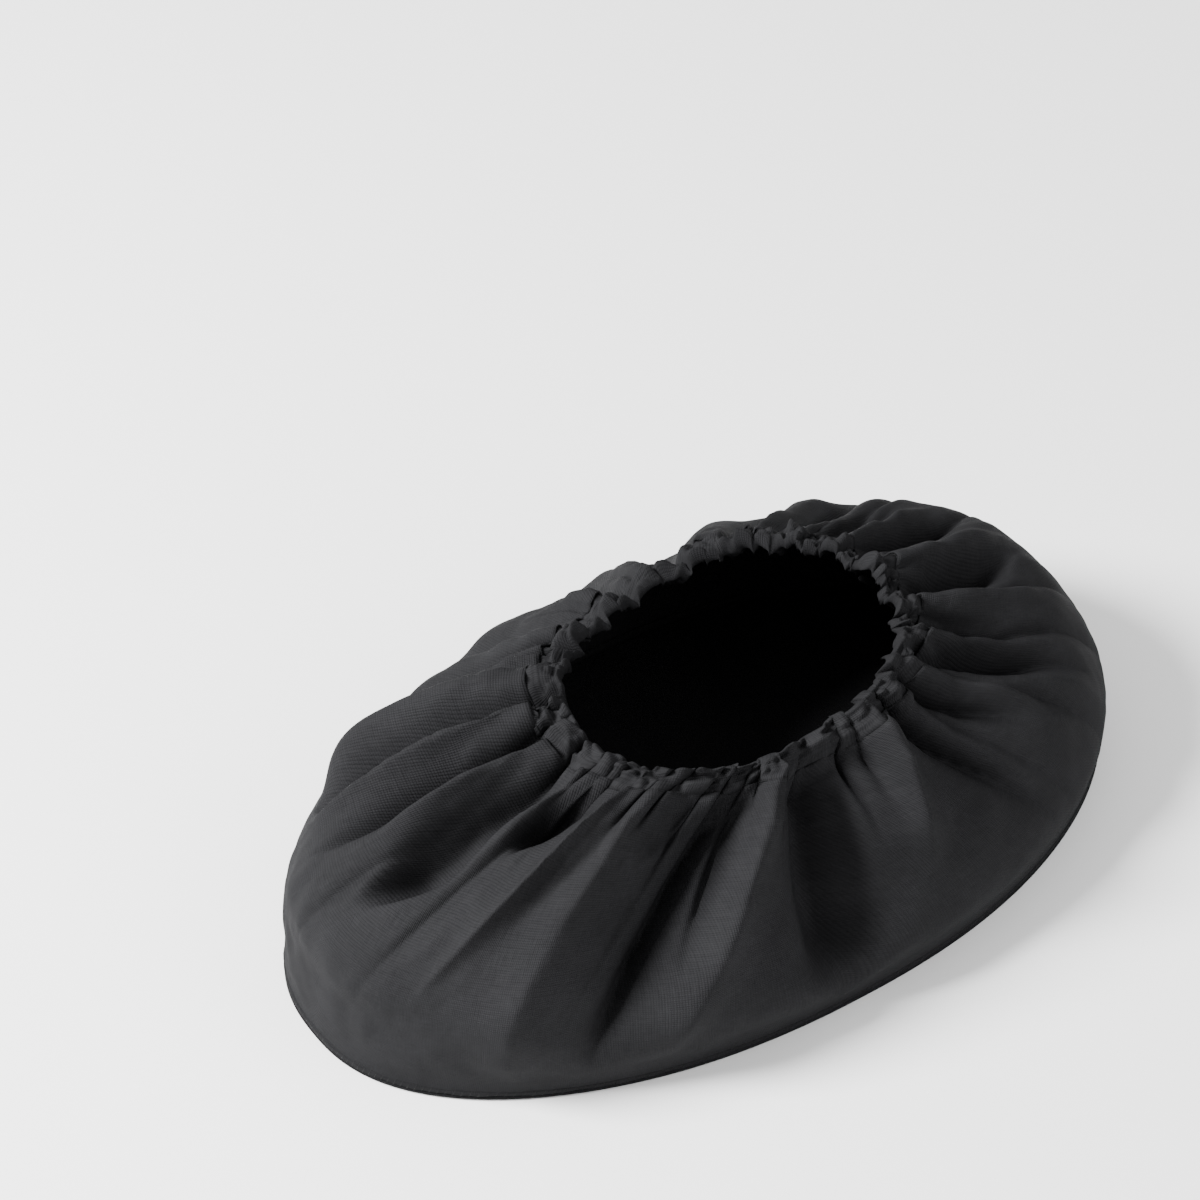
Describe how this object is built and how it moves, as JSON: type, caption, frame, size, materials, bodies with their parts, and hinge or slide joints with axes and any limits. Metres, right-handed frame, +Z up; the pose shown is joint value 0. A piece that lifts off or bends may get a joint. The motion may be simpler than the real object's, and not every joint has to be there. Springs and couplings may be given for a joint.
{
  "type": "cloth overshoe",
  "caption": "Slip-on cloth overshoe: a flat sole, a gathered upper that folds down from the opening, and a ruched elastic hem.",
  "frame": {"origin": "middle of the sole's underside, on the surface that the overshoe rests on", "axes": "+X along the foot towards the toe, +Y across the foot, +Z up through the opening"},
  "size_m": [0.3, 0.1831, 0.0834],
  "materials": {
    "sole_cloth": "matt coated plain weave, black",
    "seam_cloth": "rolled and overcast plain weave, black",
    "upper_cloth": "fine plain-weave polyester with a slight sheen, black",
    "hem_cloth": "fine plain-weave polyester with a slight sheen, black, ruched"
  },
  "bodies": {
    "root": {"sole": "sole_cloth", "sole_seam": "seam_cloth", "upper": "upper_cloth", "gathered_hem": "hem_cloth"}
  },
  "joints": []
}
